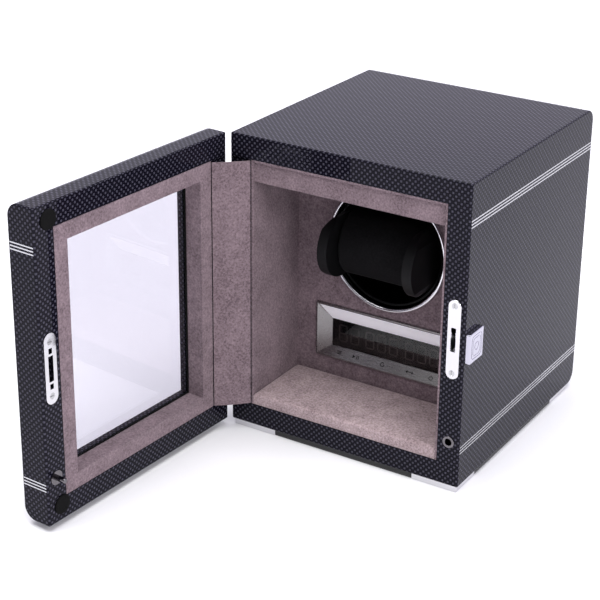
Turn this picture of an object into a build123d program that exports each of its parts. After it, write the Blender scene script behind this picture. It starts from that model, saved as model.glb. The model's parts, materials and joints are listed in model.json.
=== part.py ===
from build123d import *
import os
from math import cos, radians, sin

# Single watch winder: a lacquered wooden cabinet with a glazed door on its left edge.
# +Z is up, the front looks to -Y, and the origin is the middle of the base, on the table.

# ---------------------------------------------------------------- driving dimensions (mm)
CABINET_WIDTH = 160.0
CABINET_DEPTH = 168.0
CABINET_HEIGHT = 190.0
WALL = 14.5
BASE_HEIGHT = 4.0
OUTER_ROUND = 8.0
EDGE_EASE = 1.0

DOOR_THICKNESS = 19.0
DOOR_GAP = 1.2
DOOR_OPEN_ANGLE = 93.4
HINGE_X_OUTSIDE = 1.2
HINGE_Y_AHEAD = 0.3

LINING = 1.5
FASCIA_DEPTH = 51.0
FASCIA_THICKNESS = 5.0
FLOOR_PAD_THICKNESS = 7.5

DRUM_Z = 120.1
RING_RADIUS = 41.2
CUP_RADIUS = 37.6
CUP_WALL = 2.0

LOCK_X = 72.75
LOCK_Z = 98.5
SWITCH_Z = 32.7

FIT_GAP = 0.2
SHAFT_CLEARANCE = 0.04

# ---------------------------------------------------------------- places worked out from them
FRONT = -CABINET_DEPTH / 2
BACK = CABINET_DEPTH / 2
SIDE = CABINET_WIDTH / 2
BOTTOM = BASE_HEIGHT
TOP = BOTTOM + CABINET_HEIGHT
MIDDLE = (BOTTOM + TOP) / 2
OPEN_X = SIDE - WALL
OPEN_LOW = BOTTOM + WALL
OPEN_HIGH = TOP - WALL
FASCIA_Y = FRONT + FASCIA_DEPTH
FASCIA_BACK = FASCIA_Y + FASCIA_THICKNESS
FLOOR_TOP = OPEN_LOW + FLOOR_PAD_THICKNESS
INSIDE_X = OPEN_X - LINING

HINGE_X = -SIDE - HINGE_X_OUTSIDE
HINGE_Y = FRONT - HINGE_Y_AHEAD
HINGE_U = HINGE_X + SIDE
HINGE_V = HINGE_Y - FRONT + DOOR_GAP
SWING = radians(DOOR_OPEN_ANGLE)
DOOR_ALONG = Vector(cos(SWING), -sin(SWING), 0)
DOOR_OUT = Vector(-sin(SWING), -cos(SWING), 0)

TO_FRONT = (0, -1, 0)
TO_BACK = (0, 1, 0)
TO_TOP = (Align.CENTER, Align.CENTER, Align.MAX)


# ---------------------------------------------------------------- shared helpers
def block(low, high, mode=Mode.ADD):
    """Add or cut a box between two opposite corners."""
    size = [b - a for a, b in zip(low, high)]
    middle = [(a + b) / 2 for a, b in zip(low, high)]
    with Locations(Vector(*middle)):
        Box(*size, mode=mode)


def mirrored_block(low, high, mode=Mode.ADD):
    """A box and its twin on the other side of the cabinet's middle plane."""
    block(low, high, mode)
    block((-high[0], low[1], low[2]), (-low[0], high[1], high[2]), mode)


def front_plane(y):
    """A sketch plane facing the front: local x is X, local y is Z, extrusion goes to -Y."""
    return Plane.XZ.offset(-y)


def disc(x, y, z, radius, length, mode=Mode.ADD):
    """A cylinder along Y whose front end is at y."""
    with Locations(Plane(origin=(x, y, z), z_dir=TO_FRONT)):
        Cylinder(radius, length, align=TO_TOP, mode=mode)


def seat(x, y, z, outward):
    """The place of a screw head: its top at the point, its head facing outward."""
    return Plane(origin=(x, y, z), z_dir=outward)


def countersunk_screws(seats, head_radius, shank_radius, length):
    """Slotted screws, one solid for each seat."""
    head_height = head_radius - shank_radius
    with BuildPart() as screws:
        with Locations(*seats):
            Cylinder(shank_radius, length, align=TO_TOP)
            Cone(shank_radius, head_radius, head_height, align=TO_TOP)
            Box(2.2 * head_radius, 0.3 * head_radius, 0.3 * head_radius, align=TO_TOP, mode=Mode.SUBTRACT)
    return screws


def coil_spring(foot, axis, radius, wire_radius, height, turns):
    """An open coil along the axis whose wire stays between the foot and the given height."""
    direction = Vector(*axis)
    rise = height - 2 * wire_radius
    with BuildPart() as spring:
        with BuildLine():
            coil = Helix(rise / turns, rise, radius, Vector(*foot) + direction * wire_radius, direction)
        with BuildSketch(Plane(origin=coil @ 0, z_dir=coil % 0)):
            Circle(wire_radius)
        sweep(path=coil, is_frenet=True)
    return spring


def door_point(u, v, z):
    """Door places: u runs from the hinge edge to the free edge, v from inner face outward."""
    hinge = Vector(HINGE_X, HINGE_Y, z)
    return hinge + DOOR_ALONG * (u - HINGE_U) + DOOR_OUT * (v + HINGE_V)


def door_face(v):
    """A sketch plane in the door: local x is u, local y is Z, extrusion goes outward."""
    return Plane(origin=door_point(0, v, 0), x_dir=DOOR_ALONG, z_dir=DOOR_OUT)


def door_block(low, high, mode=Mode.ADD):
    """Add or cut a box between two opposite corners given as (u, v, z)."""
    size = [b - a for a, b in zip(low, high)]
    middle = door_point(*[(a + b) / 2 for a, b in zip(low, high)])
    with Locations(Plane(origin=middle, x_dir=DOOR_ALONG, z_dir=(0, 0, 1))):
        Box(*size, mode=mode)


def door_disc(u, v, z, radius, length, mode=Mode.ADD):
    """A cylinder through the door's thickness whose inner end is at v."""
    with Locations(Plane(origin=door_point(u, v, z), z_dir=-DOOR_OUT)):
        Cylinder(radius, length, align=TO_TOP, mode=mode)


def door_seat(u, v, z):
    """The place of a screw head on the door's inner side."""
    return Plane(origin=door_point(u, v, z), z_dir=-DOOR_OUT)


# ---------------------------------------------------------------- dimensions of the fittings
INLAY_WIDTH = 0.7
INLAY_DEPTH = 0.5
INLAY_PITCH = 1.95
INLAY_FROM_EDGE = 24.3
INLAY_HEIGHTS = [
    edge + step * INLAY_PITCH
    for edge in (BOTTOM + INLAY_FROM_EDGE, TOP - INLAY_FROM_EDGE)
    for step in (-1, 0, 1)
]
INLAY_END = 1.0

HINGE_HEIGHTS = (MIDDLE - 45, MIDDLE + 45)
HINGE_LENGTH = 40.0
KNUCKLES = 5
KNUCKLE_RADIUS = 2.4
KNUCKLE_GAP = 0.1
PIN_RADIUS = 1.0
LEAF = 1.0
LEAF_X_END = SIDE - 12.0
COVER_REBATE = 0.8
COVER_X_END = SIDE - 1.4
HINGE_SCREWS = dict(head_radius=1.8, shank_radius=0.9, length=9.0)

PLATE_THICKNESS = 1.0
PLATE_PROUD = 0.3
PLATE_Y = FRONT - PLATE_PROUD + PLATE_THICKNESS
LOCK_SCREWS = dict(head_radius=1.9, shank_radius=1.0, length=12.0)
CASE_HALF = (3.3, 16.9)
CASE_BACK = FRONT + 22.0
CASE_SHEET = 0.7
HOOK_Y = FRONT + 4.0
HOOK_Z = LOCK_Z - 9.5

STRIKE_U = CABINET_WIDTH - 7.25
STRIKE_Z = 99.7

BUTTON_Y = FRONT + 9.7
BUTTON_Z = 93.85
BUTTON_HALF = (8.3, 9.35)
BUTTON_PROUD = 2.9
BUTTON_SUNK = 1.0
BUTTON_POCKET = 3.2
BUTTON_HOLLOW = 1.5
STEM_RADIUS = 2.0

SWITCH_BORE = 3.05
PANEL_THICKNESS = 4.0
PANEL_LEDGE = 3.5
JACK_X = 45.0
JACK_Z = 36.0
FOOT_LEGS = (30.0, 24.0)
FOOT_WIDTH = 11.0
FOOT_INSET = 1.4
BASE_BACK = BACK - OUTER_ROUND - 1.0

BACK_SCREW_X = OPEN_X + PANEL_LEDGE / 2
back_seats = [
    seat(side * BACK_SCREW_X, BACK, z, TO_BACK)
    for side in (-1, 1)
    for z in (OPEN_LOW + 12, MIDDLE, OPEN_HIGH - 12)
]
lock_seats = [seat(LOCK_X, FRONT - PLATE_PROUD, LOCK_Z + dz, TO_FRONT) for dz in (-21.0, 21.0)]
strike_seats = [door_seat(STRIKE_U, -PLATE_PROUD, STRIKE_Z + dz) for dz in (-16.2, 16.2)]
LEAF_Y = FRONT + COVER_REBATE
LEAF_SCREW_X = -SIDE + 7.5
leaf_seats = [
    seat(LEAF_SCREW_X, LEAF_Y, z + dz, TO_FRONT) for z in HINGE_HEIGHTS for dz in (-14.0, 0.0, 14.0)
]
door_leaf_seats = [
    door_seat(SIDE + LEAF_SCREW_X, COVER_REBATE, z + dz) for z in HINGE_HEIGHTS for dz in (-14.0, 0.0, 14.0)
]
foot_seats = [
    seat(side_x * x, y, 0, (0, 0, -1))
    for side_x in (-1, 1)
    for x, y in (
        (SIDE - 8, FRONT + 18), (SIDE - 24, FRONT + 8), (SIDE - 8, BASE_BACK - 18), (SIDE - 24, BASE_BACK - 8)
    )
]

# ---------------------------------------------------------------- cabinet shell
with BuildPart() as cabinet_shell:
    with BuildSketch(Plane.YZ.offset(-SIDE)):
        with Locations((0, MIDDLE)):
            Rectangle(CABINET_DEPTH, CABINET_HEIGHT)
        back_corners = vertices().group_by(Axis.X)[-1]
        fillet(back_corners, OUTER_ROUND)
    extrude(amount=CABINET_WIDTH)
    ends = faces().filter_by(Axis.X).edges()
    front_edges = faces().sort_by(Axis.Y)[0].edges().filter_by(Axis.X)
    fillet(ends + front_edges, EDGE_EASE)
    block((-OPEN_X, FRONT - 1, OPEN_LOW), (OPEN_X, BACK + 1, OPEN_HIGH), Mode.SUBTRACT)
    ledge_x = OPEN_X + PANEL_LEDGE
    block(
        (-ledge_x, BACK - PANEL_THICKNESS, OPEN_LOW - PANEL_LEDGE),
        (ledge_x, BACK + 1, OPEN_HIGH + PANEL_LEDGE),
        Mode.SUBTRACT,
    )
    for z in INLAY_HEIGHTS:
        mirrored_block(
            (SIDE - INLAY_DEPTH, FRONT + INLAY_END, z - INLAY_WIDTH / 2),
            (SIDE + 1, BACK - INLAY_END, z + INLAY_WIDTH / 2),
            Mode.SUBTRACT,
        )
    # rebate for the folded hinge cover, then the mortises and grooves of the two hinges
    block((-COVER_X_END, FRONT - 1, OPEN_LOW), (-OPEN_X, LEAF_Y, OPEN_HIGH), Mode.SUBTRACT)
    for z in HINGE_HEIGHTS:
        half = HINGE_LENGTH / 2 + KNUCKLE_GAP
        block((-SIDE - 1, FRONT - 1, z - half), (-LEAF_X_END, LEAF_Y + LEAF, z + half), Mode.SUBTRACT)
        with Locations((HINGE_X, HINGE_Y, z)):
            Cylinder(KNUCKLE_RADIUS + 0.3, 2 * half, mode=Mode.SUBTRACT)
    with Locations(*[s.offset(-LEAF) for s in leaf_seats]):
        Hole(HINGE_SCREWS["shank_radius"], HINGE_SCREWS["length"] - LEAF)
    # lock: face plate recess, mortise for the case, screw holes
    with BuildSketch(front_plane(PLATE_Y)):
        with Locations((LOCK_X, LOCK_Z)):
            SlotOverall(50.0, 8.6, rotation=90)
    extrude(amount=5, mode=Mode.SUBTRACT)
    case_x, case_z = CASE_HALF[0] + 0.1, CASE_HALF[1] + 0.1
    block(
        (LOCK_X - case_x, FRONT - 1, LOCK_Z - case_z),
        (LOCK_X + case_x, CASE_BACK, LOCK_Z + case_z),
        Mode.SUBTRACT,
    )
    with Locations(*[s.offset(-PLATE_THICKNESS) for s in lock_seats]):
        Hole(LOCK_SCREWS["shank_radius"], LOCK_SCREWS["length"] - PLATE_THICKNESS)
    # push button pocket and the way through to the lock case
    block(
        (SIDE - BUTTON_POCKET, BUTTON_Y - BUTTON_HALF[0] - FIT_GAP, BUTTON_Z - BUTTON_HALF[1] - FIT_GAP),
        (SIDE + 1, BUTTON_Y + BUTTON_HALF[0] + FIT_GAP, BUTTON_Z + BUTTON_HALF[1] + FIT_GAP),
        Mode.SUBTRACT,
    )
    with Locations(Plane(origin=(SIDE, BUTTON_Y, BUTTON_Z), z_dir=(1, 0, 0))):
        Cylinder(STEM_RADIUS + 0.3, 2 * WALL / 3, align=TO_TOP, mode=Mode.SUBTRACT)
    # door switch bore, foot screw holes, back panel screw holes
    disc(LOCK_X, FRONT, SWITCH_Z, SWITCH_BORE, 24.0, Mode.SUBTRACT)
    with Locations(*[s.offset(-BASE_HEIGHT) for s in foot_seats]):
        Hole(1.1, 7.0)
    with Locations(*[s.offset(-PANEL_THICKNESS) for s in back_seats]):
        Hole(0.9, 10)

with BuildPart() as cabinet_inlays:
    for z in INLAY_HEIGHTS:
        mirrored_block(
            (SIDE - INLAY_DEPTH, FRONT + INLAY_END, z - INLAY_WIDTH / 2),
            (SIDE + 0.02, BACK - INLAY_END, z + INLAY_WIDTH / 2),
        )

# ---------------------------------------------------------------- base and feet
FOOT_X = SIDE - FOOT_INSET
FOOT_Y = FRONT + FOOT_INSET
FELT = 1.0
SCREW_RECESS = 0.5
with BuildPart() as corner_feet:
    with BuildSketch():
        for side_x in (-1, 1):
            for corner_y, inward in ((FOOT_Y, 1), (BASE_BACK, -1)):
                for leg_x, leg_y in ((FOOT_LEGS[0], FOOT_WIDTH), (FOOT_WIDTH, FOOT_LEGS[1])):
                    with Locations((side_x * (FOOT_X - leg_x / 2), corner_y + inward * leg_y / 2)):
                        Rectangle(leg_x, leg_y)
    extrude(amount=BASE_HEIGHT)
    fillet(edges().filter_by(Axis.Z), 0.3)
    with Locations(*foot_seats):
        CounterSinkHole(1.1, 2.2 + SCREW_RECESS, BASE_HEIGHT, 90)

foot_screws = countersunk_screws([s.offset(-SCREW_RECESS) for s in foot_seats], 2.2, 1.1, 10.0)


def base_layer(low, high):
    """A sheet between the feet, cut back from each corner so that a foot fits around it."""
    inset = FOOT_INSET + 0.6
    with BuildPart() as layer:
        block((-SIDE + inset, FRONT + inset, low), (SIDE - inset, BASE_BACK - 0.6, high))
        for side_x in (-1, 1):
            for corner_y, inward in ((FOOT_Y, 1), (BASE_BACK, -1)):
                for leg_x, leg_y in ((FOOT_LEGS[0], FOOT_WIDTH), (FOOT_WIDTH, FOOT_LEGS[1])):
                    leg_middle_x = side_x * (FOOT_X - leg_x / 2)
                    leg_middle_y = corner_y + inward * leg_y / 2
                    with Locations((leg_middle_x, leg_middle_y, (low + high) / 2)):
                        Box(leg_x + FIT_GAP, leg_y + FIT_GAP, high - low, mode=Mode.SUBTRACT)
    return layer


base_felt = base_layer(0, FELT)
base_board = base_layer(FELT, BASE_HEIGHT)

# ---------------------------------------------------------------- suede lining of the compartment
with BuildPart() as compartment_lining:
    mirrored_block((INSIDE_X, FRONT, OPEN_LOW), (OPEN_X, FASCIA_Y, OPEN_HIGH))
    fillet(edges().filter_by(Axis.Z).group_by(Axis.Y)[0], 0.5)
    block((-INSIDE_X + 0.05, FRONT, OPEN_HIGH - LINING), (INSIDE_X - 0.05, FASCIA_Y, OPEN_HIGH))
    fillet(edges().filter_by(Axis.X).group_by(Axis.Z)[-2].sort_by(Axis.Y)[0], 0.5)

HEADER_LOW = 165.4
with BuildPart() as header_board:
    block((-INSIDE_X, FRONT + 1.4, HEADER_LOW), (INSIDE_X, FRONT + 4.4, OPEN_HIGH - LINING))
    fillet(edges().filter_by(Axis.X).group_by(Axis.Z)[0], 0.8)

with BuildPart() as floor_pad:
    block((-INSIDE_X, FRONT + 0.2, OPEN_LOW), (INSIDE_X, FASCIA_Y, FLOOR_TOP))
    fillet(edges().filter_by(Axis.X).group_by(Axis.Z)[-1].sort_by(Axis.Y)[0], 1.5)

# ---------------------------------------------------------------- mechanism fascia
DISPLAY_X = 49.5
DISPLAY_LOW = 37.0
DISPLAY_HIGH = 74.0
DISPLAY_Z = (DISPLAY_LOW + DISPLAY_HIGH) / 2
SCREEN_X = 39.4
SCREEN_LOW = 44.4
SCREEN_HIGH = 62.9
SCREEN_Z = (SCREEN_LOW + SCREEN_HIGH) / 2
BEZEL_SLEEVE = 1.5
RING_SLEEVE_RADIUS = 39.4
HOUSING_LUG_RADIUS = 47.0
lug_points = [
    (HOUSING_LUG_RADIUS * cos(radians(angle)), DRUM_Z + HOUSING_LUG_RADIUS * sin(radians(angle)))
    for angle in (45, 135, 225, 315)
]
lug_seats = [seat(x, FASCIA_BACK + 3.0, z, TO_BACK) for x, z in lug_points]

with BuildPart() as fascia_board:
    block((-OPEN_X, FASCIA_Y, OPEN_LOW), (OPEN_X, FASCIA_BACK, OPEN_HIGH))
    disc(0, FASCIA_Y - 1, DRUM_Z, RING_SLEEVE_RADIUS + 0.1, FASCIA_THICKNESS + 2, Mode.SUBTRACT)
    block(
        (-DISPLAY_X + BEZEL_SLEEVE - 0.1, FASCIA_Y - 1, DISPLAY_LOW + BEZEL_SLEEVE - 0.1),
        (DISPLAY_X - BEZEL_SLEEVE + 0.1, FASCIA_BACK + 1, DISPLAY_HIGH - BEZEL_SLEEVE + 0.1),
        Mode.SUBTRACT,
    )
    with Locations(*[s.offset(-3.0) for s in lug_seats]):
        Hole(0.9, 4.0)

with BuildPart() as fascia_cleats:
    mirrored_block((OPEN_X - 8, FASCIA_BACK, OPEN_LOW + 12), (OPEN_X, FASCIA_BACK + 8, OPEN_HIGH - 12))

with BuildPart() as drum_ring:
    with BuildSketch(Plane.YZ):
        with BuildLine():
            Polyline(
                (FASCIA_Y + 11, DRUM_Z + RING_SLEEVE_RADIUS),
                (FASCIA_Y, DRUM_Z + RING_SLEEVE_RADIUS),
                (FASCIA_Y, DRUM_Z + RING_RADIUS),
                (FASCIA_Y - 1.0, DRUM_Z + RING_RADIUS),
            )
            ThreePointArc(
                (FASCIA_Y - 1.0, DRUM_Z + RING_RADIUS),
                (FASCIA_Y - 2.4, DRUM_Z + RING_RADIUS - 1.5),
                (FASCIA_Y - 1.0, DRUM_Z + RING_RADIUS - 3.0),
            )
            Polyline(
                (FASCIA_Y - 1.0, DRUM_Z + RING_RADIUS - 3.0),
                (FASCIA_Y + 11, DRUM_Z + RING_RADIUS - 3.0),
                (FASCIA_Y + 11, DRUM_Z + RING_SLEEVE_RADIUS),
            )
        make_face()
    revolve(axis=Axis((0, 0, DRUM_Z), (0, 1, 0)))

# ---------------------------------------------------------------- display
LENS_Y = FASCIA_Y + 3.0
BOARD_Y = LENS_Y + 4.4
board_points = [(x, z) for x in (-43.0, 43.0) for z in (DISPLAY_Z - 13, DISPLAY_Z + 13)]
board_seats = [seat(x, BOARD_Y + 1.6, z, TO_BACK) for x, z in board_points]

with BuildPart() as display_bezel:
    block((-DISPLAY_X, FASCIA_Y - 1.2, DISPLAY_LOW), (DISPLAY_X, FASCIA_Y, DISPLAY_HIGH))
    fillet(edges().filter_by(Axis.Y), 1.2)
    fillet(faces().sort_by(Axis.Y)[0].edges(), 0.4)
    block(
        (-DISPLAY_X + BEZEL_SLEEVE, FASCIA_Y, DISPLAY_LOW + BEZEL_SLEEVE),
        (DISPLAY_X - BEZEL_SLEEVE, FASCIA_BACK, DISPLAY_HIGH - BEZEL_SLEEVE),
    )
    with BuildSketch(front_plane(FASCIA_Y - 1.2)):
        with Locations((0, DISPLAY_Z)):
            Rectangle(2 * DISPLAY_X - 2.0, DISPLAY_HIGH - DISPLAY_LOW - 2.0)
    with BuildSketch(front_plane(FASCIA_Y + 2.6)):
        with Locations((0, SCREEN_Z)):
            Rectangle(2 * SCREEN_X, SCREEN_HIGH - SCREEN_LOW)
    loft(mode=Mode.SUBTRACT)
    block((-SCREEN_X, FASCIA_Y, SCREEN_LOW), (SCREEN_X, FASCIA_BACK + 1, SCREEN_HIGH), Mode.SUBTRACT)
    block(
        (-SCREEN_X - 1, FASCIA_Y + 3.0, SCREEN_LOW - 1),
        (SCREEN_X + 1, FASCIA_BACK + 1, SCREEN_HIGH + 1),
        Mode.SUBTRACT,
    )
    for x, z in board_points:
        disc(x, FASCIA_BACK - 1, z, 2.2, BOARD_Y - FASCIA_BACK + 1)
    with Locations(*[s.offset(-1.6) for s in board_seats]):
        Hole(0.9, 4.0)

LENS_X = SCREEN_X + 0.8
LENS_LOW = SCREEN_LOW - 0.8
LENS_HIGH = SCREEN_HIGH + 0.8
with BuildPart() as screen_lens:
    block((-LENS_X, LENS_Y, LENS_LOW), (LENS_X, LENS_Y + 1.0, LENS_HIGH))

with BuildPart() as lcd_panel:
    block((-LENS_X, LENS_Y + 1.0, LENS_LOW), (LENS_X, LENS_Y + 3.6, LENS_HIGH))

with BuildPart() as control_board:
    block((-46, BOARD_Y, DISPLAY_Z - 16), (46, BOARD_Y + 1.6, DISPLAY_Z + 16))
    with Locations(*board_seats):
        Hole(0.9, 1.6)

CHIPS_Y = BOARD_Y + 1.6
with BuildPart() as board_components:
    block((-6, CHIPS_Y, DISPLAY_Z - 5), (6, CHIPS_Y + 1.6, DISPLAY_Z + 5))
    block((18, CHIPS_Y, DISPLAY_Z - 12), (26, CHIPS_Y + 5.5, DISPLAY_Z - 7))
    block((-28, CHIPS_Y, DISPLAY_Z - 12), (-18, CHIPS_Y + 5.5, DISPLAY_Z - 7))
    disc(-32, CHIPS_Y, DISPLAY_Z + 6, 3.0, 8.0)
    disc(-24, CHIPS_Y, DISPLAY_Z + 6, 3.0, 8.0)
    disc(32, CHIPS_Y, DISPLAY_Z + 4, 4.0, 1.5)

# ---------------------------------------------------------------- drum housing and bearings
HOUSING_OUTER = 43.0
HOUSING_INNER = 40.6
HOUSING_BACK = FASCIA_BACK + 48.0
BOSS_RADIUS = 9.0
BOSS_END = HOUSING_BACK + 14.0
BEARING_RADIUS = 6.5
BEARING_WIDTH = 5.0
SHAFT_RADIUS = 3.0
MOUNT_THICKNESS = 2.5
mount_seats = [
    seat(x, HOUSING_BACK + MOUNT_THICKNESS, DRUM_Z + z, TO_BACK) for x in (-14.0, 14.0) for z in (-12.0, 12.0)
]

with BuildPart() as drum_housing:
    disc(0, FASCIA_BACK, DRUM_Z, HOUSING_OUTER, HOUSING_BACK - FASCIA_BACK)
    with BuildSketch(front_plane(FASCIA_BACK + 3.0)):
        for x, z in lug_points:
            with Locations((x, z)):
                Circle(4.5)
    extrude(amount=3.0)
    disc(0, FASCIA_BACK - 1, DRUM_Z, HOUSING_INNER, HOUSING_BACK - FASCIA_BACK - 2.0, Mode.SUBTRACT)
    disc(0, HOUSING_BACK - 1, DRUM_Z, BOSS_RADIUS, BOSS_END - HOUSING_BACK + 1)
    disc(0, HOUSING_BACK - 4, DRUM_Z, BEARING_RADIUS - 1.5, 20, Mode.SUBTRACT)
    for bearing_y in (HOUSING_BACK + 1, BOSS_END - BEARING_WIDTH):
        disc(0, bearing_y, DRUM_Z, BEARING_RADIUS, BEARING_WIDTH, Mode.SUBTRACT)
    with Locations(*lug_seats):
        Hole(0.9, 3.0)
    with Locations(*[s.offset(-MOUNT_THICKNESS) for s in mount_seats]):
        Hole(0.9, 2.6)

with BuildPart() as shaft_bearings:
    for bearing_y in (HOUSING_BACK + 1, BOSS_END - BEARING_WIDTH):
        disc(0, bearing_y, DRUM_Z, BEARING_RADIUS, BEARING_WIDTH)
        disc(0, bearing_y, DRUM_Z, SHAFT_RADIUS + SHAFT_CLEARANCE, BEARING_WIDTH, Mode.SUBTRACT)

# ---------------------------------------------------------------- rotating drum
CUP_FRONT = FASCIA_Y + 1.0
CUP_FLOOR = FASCIA_BACK + 37.0
CUP_BACK = CUP_FLOOR + 2.5
PULLEY_FRONT = BOSS_END + 3.0
PULLEY_WIDTH = 6.0
PULLEY_RADIUS = 26.0
SHAFT_END = PULLEY_FRONT + PULLEY_WIDTH + 3.5

with BuildPart() as drum_cup:
    disc(0, CUP_FRONT, DRUM_Z, CUP_RADIUS, CUP_BACK - CUP_FRONT)
    disc(0, CUP_FRONT - 1, DRUM_Z, CUP_RADIUS - CUP_WALL, CUP_FLOOR - CUP_FRONT + 1, Mode.SUBTRACT)
    disc(0, CUP_BACK, DRUM_Z, 8.0, 4.0)
    disc(0, CUP_FLOOR, DRUM_Z, SHAFT_RADIUS, CUP_BACK + 4.0 - CUP_FLOOR, Mode.SUBTRACT)
    fillet(edges().group_by(Axis.Y)[0], 0.5)

with BuildPart() as drum_shaft:
    disc(0, CUP_FLOOR, DRUM_Z, SHAFT_RADIUS, SHAFT_END - CUP_FLOOR)
    chamfer(faces().sort_by(Axis.Y)[-1].edges(), 0.5)

with BuildPart() as drum_pulley:
    disc(0, PULLEY_FRONT, DRUM_Z, PULLEY_RADIUS, PULLEY_WIDTH)
    for flange_y in (PULLEY_FRONT, PULLEY_FRONT + PULLEY_WIDTH - 0.8):
        disc(0, flange_y, DRUM_Z, PULLEY_RADIUS + 1.6, 0.8)
    disc(0, PULLEY_FRONT, DRUM_Z, SHAFT_RADIUS, PULLEY_WIDTH, Mode.SUBTRACT)
    for turn in range(6):
        angle = radians(60 * turn)
        disc(15 * cos(angle), PULLEY_FRONT, DRUM_Z + 15 * sin(angle), 4.5, PULLEY_WIDTH, Mode.SUBTRACT)

# ---------------------------------------------------------------- watch cuff
CUFF_FRONT = FRONT + 21.7
CUFF_BACK = CUP_FLOOR - 2.5
CHEEK_ROUND = 19.8
CHEEK_INNER_X = 26.0
CUFF_RADIUS = CUP_RADIUS - CUP_WALL - 0.3
CUSHION_X = CHEEK_INNER_X - 0.1
CUSHION_HALF = (20.0, 21.0)
CUSHION_Y = -31.0

with BuildPart() as cuff_cheeks:
    with BuildSketch(Plane.YZ.offset(-CUFF_RADIUS)):
        with Locations((CUFF_FRONT + CHEEK_ROUND, DRUM_Z)):
            Circle(CHEEK_ROUND)
        middle_y = (CUFF_FRONT + CHEEK_ROUND + CUFF_BACK) / 2
        with Locations((middle_y, DRUM_Z)):
            Rectangle(CUFF_BACK - CUFF_FRONT - CHEEK_ROUND, 2 * CHEEK_ROUND)
    extrude(amount=2 * CUFF_RADIUS)
    disc(0, CUFF_FRONT - 1, DRUM_Z, CUFF_RADIUS, CUFF_BACK - CUFF_FRONT + 2, Mode.INTERSECT)
    block((-CHEEK_INNER_X, CUFF_FRONT - 1, 0), (CHEEK_INNER_X, CUFF_BACK + 1, TOP), Mode.SUBTRACT)
    block((-SIDE, CUFF_FRONT - 1, 0), (-CHEEK_INNER_X - 6.5, CUFF_BACK + 1, TOP), Mode.SUBTRACT)
    block((CHEEK_INNER_X + 6.5, CUFF_FRONT - 1, 0), (SIDE, CUFF_BACK + 1, TOP), Mode.SUBTRACT)

with BuildPart() as cuff_spine:
    block((-CHEEK_INNER_X, CUSHION_Y - 7, DRUM_Z - 3), (CHEEK_INNER_X, CUSHION_Y + 7, DRUM_Z + 3))

with BuildPart() as cuff_cushion:
    with BuildSketch(Plane.YZ.offset(-CUSHION_X)):
        with Locations((CUSHION_Y, DRUM_Z)):
            Ellipse(*CUSHION_HALF)
            Rectangle(14.1, 6.1, mode=Mode.SUBTRACT)
    extrude(amount=2 * CUSHION_X)

# ---------------------------------------------------------------- belt drive
MOTOR_Z = 58.0
MOTOR_RADIUS = 12.0
MOTOR_PULLEY_RADIUS = 5.2
MOTOR_SHAFT_RADIUS = 1.5
BELT = 1.0
BELT_GAP = 0.15

with BuildPart() as motor_mount:
    block((-20, HOUSING_BACK, MOTOR_Z - 16), (20, HOUSING_BACK + MOUNT_THICKNESS, DRUM_Z + 17))
    fillet(edges().filter_by(Axis.Y), 4.0)
    disc(0, HOUSING_BACK - 1, DRUM_Z, BOSS_RADIUS + 0.1, 5, Mode.SUBTRACT)
    disc(0, HOUSING_BACK - 1, MOTOR_Z, 4.0, 5, Mode.SUBTRACT)
    with Locations(*mount_seats):
        CounterSinkHole(0.9, 1.8, MOUNT_THICKNESS, 90)

proud_seats = [s.offset(0.9) for s in board_seats + lug_seats]
drive_screws = countersunk_screws(proud_seats + mount_seats, 1.8, 0.9, 5.0)

with BuildPart() as gear_motor:
    disc(0, HOUSING_BACK - 30, MOTOR_Z, MOTOR_RADIUS, 30)
    fillet(edges().group_by(Axis.Y)[0], 1.5)
    disc(0, HOUSING_BACK - 12.4, MOTOR_Z, MOTOR_RADIUS + 0.8, 0.8)
    disc(0, HOUSING_BACK, MOTOR_Z, 3.9, 3.0)
    disc(0, HOUSING_BACK - 5, MOTOR_Z, MOTOR_SHAFT_RADIUS + SHAFT_CLEARANCE, 9, Mode.SUBTRACT)
    mirrored_block((4, HOUSING_BACK - 33, MOTOR_Z - 1.5), (4.6, HOUSING_BACK - 29, MOTOR_Z + 1.5))

with BuildPart() as motor_shaft:
    disc(0, HOUSING_BACK - 4.9, MOTOR_Z, MOTOR_SHAFT_RADIUS, SHAFT_END - HOUSING_BACK + 4.9)

with BuildPart() as motor_pulley:
    disc(0, PULLEY_FRONT, MOTOR_Z, MOTOR_PULLEY_RADIUS, PULLEY_WIDTH)
    for flange_y in (PULLEY_FRONT, PULLEY_FRONT + PULLEY_WIDTH - 0.8):
        disc(0, flange_y, MOTOR_Z, MOTOR_PULLEY_RADIUS + 1.6, 0.8)
    disc(0, PULLEY_FRONT, MOTOR_Z, MOTOR_SHAFT_RADIUS, PULLEY_WIDTH, Mode.SUBTRACT)

BELT_Y = PULLEY_FRONT + 4.8
BELT_WIDTH = 3.6
with BuildPart() as drive_belt:
    for growth, mode in ((BELT_GAP + BELT, Mode.ADD), (BELT_GAP, Mode.SUBTRACT)):
        with BuildSketch(front_plane(BELT_Y)):
            with Locations((0, DRUM_Z)):
                Circle(PULLEY_RADIUS + growth)
            with Locations((0, MOTOR_Z)):
                Circle(MOTOR_PULLEY_RADIUS + growth)
            make_hull()
        extrude(amount=BELT_WIDTH, mode=mode)

# ---------------------------------------------------------------- back panel and power inlet
with BuildPart() as back_panel:
    reach = PANEL_LEDGE - FIT_GAP
    low_corner = (-OPEN_X - reach, BACK - PANEL_THICKNESS, OPEN_LOW - reach)
    block(low_corner, (OPEN_X + reach, BACK, OPEN_HIGH + reach))
    disc(JACK_X, BACK - PANEL_THICKNESS, JACK_Z, 5.6, PANEL_THICKNESS, Mode.SUBTRACT)
    with Locations(*back_seats):
        CounterSinkHole(0.9, 1.7, PANEL_THICKNESS, 90)

back_panel_screws = countersunk_screws(back_seats, 1.7, 0.9, 13.0)

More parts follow.
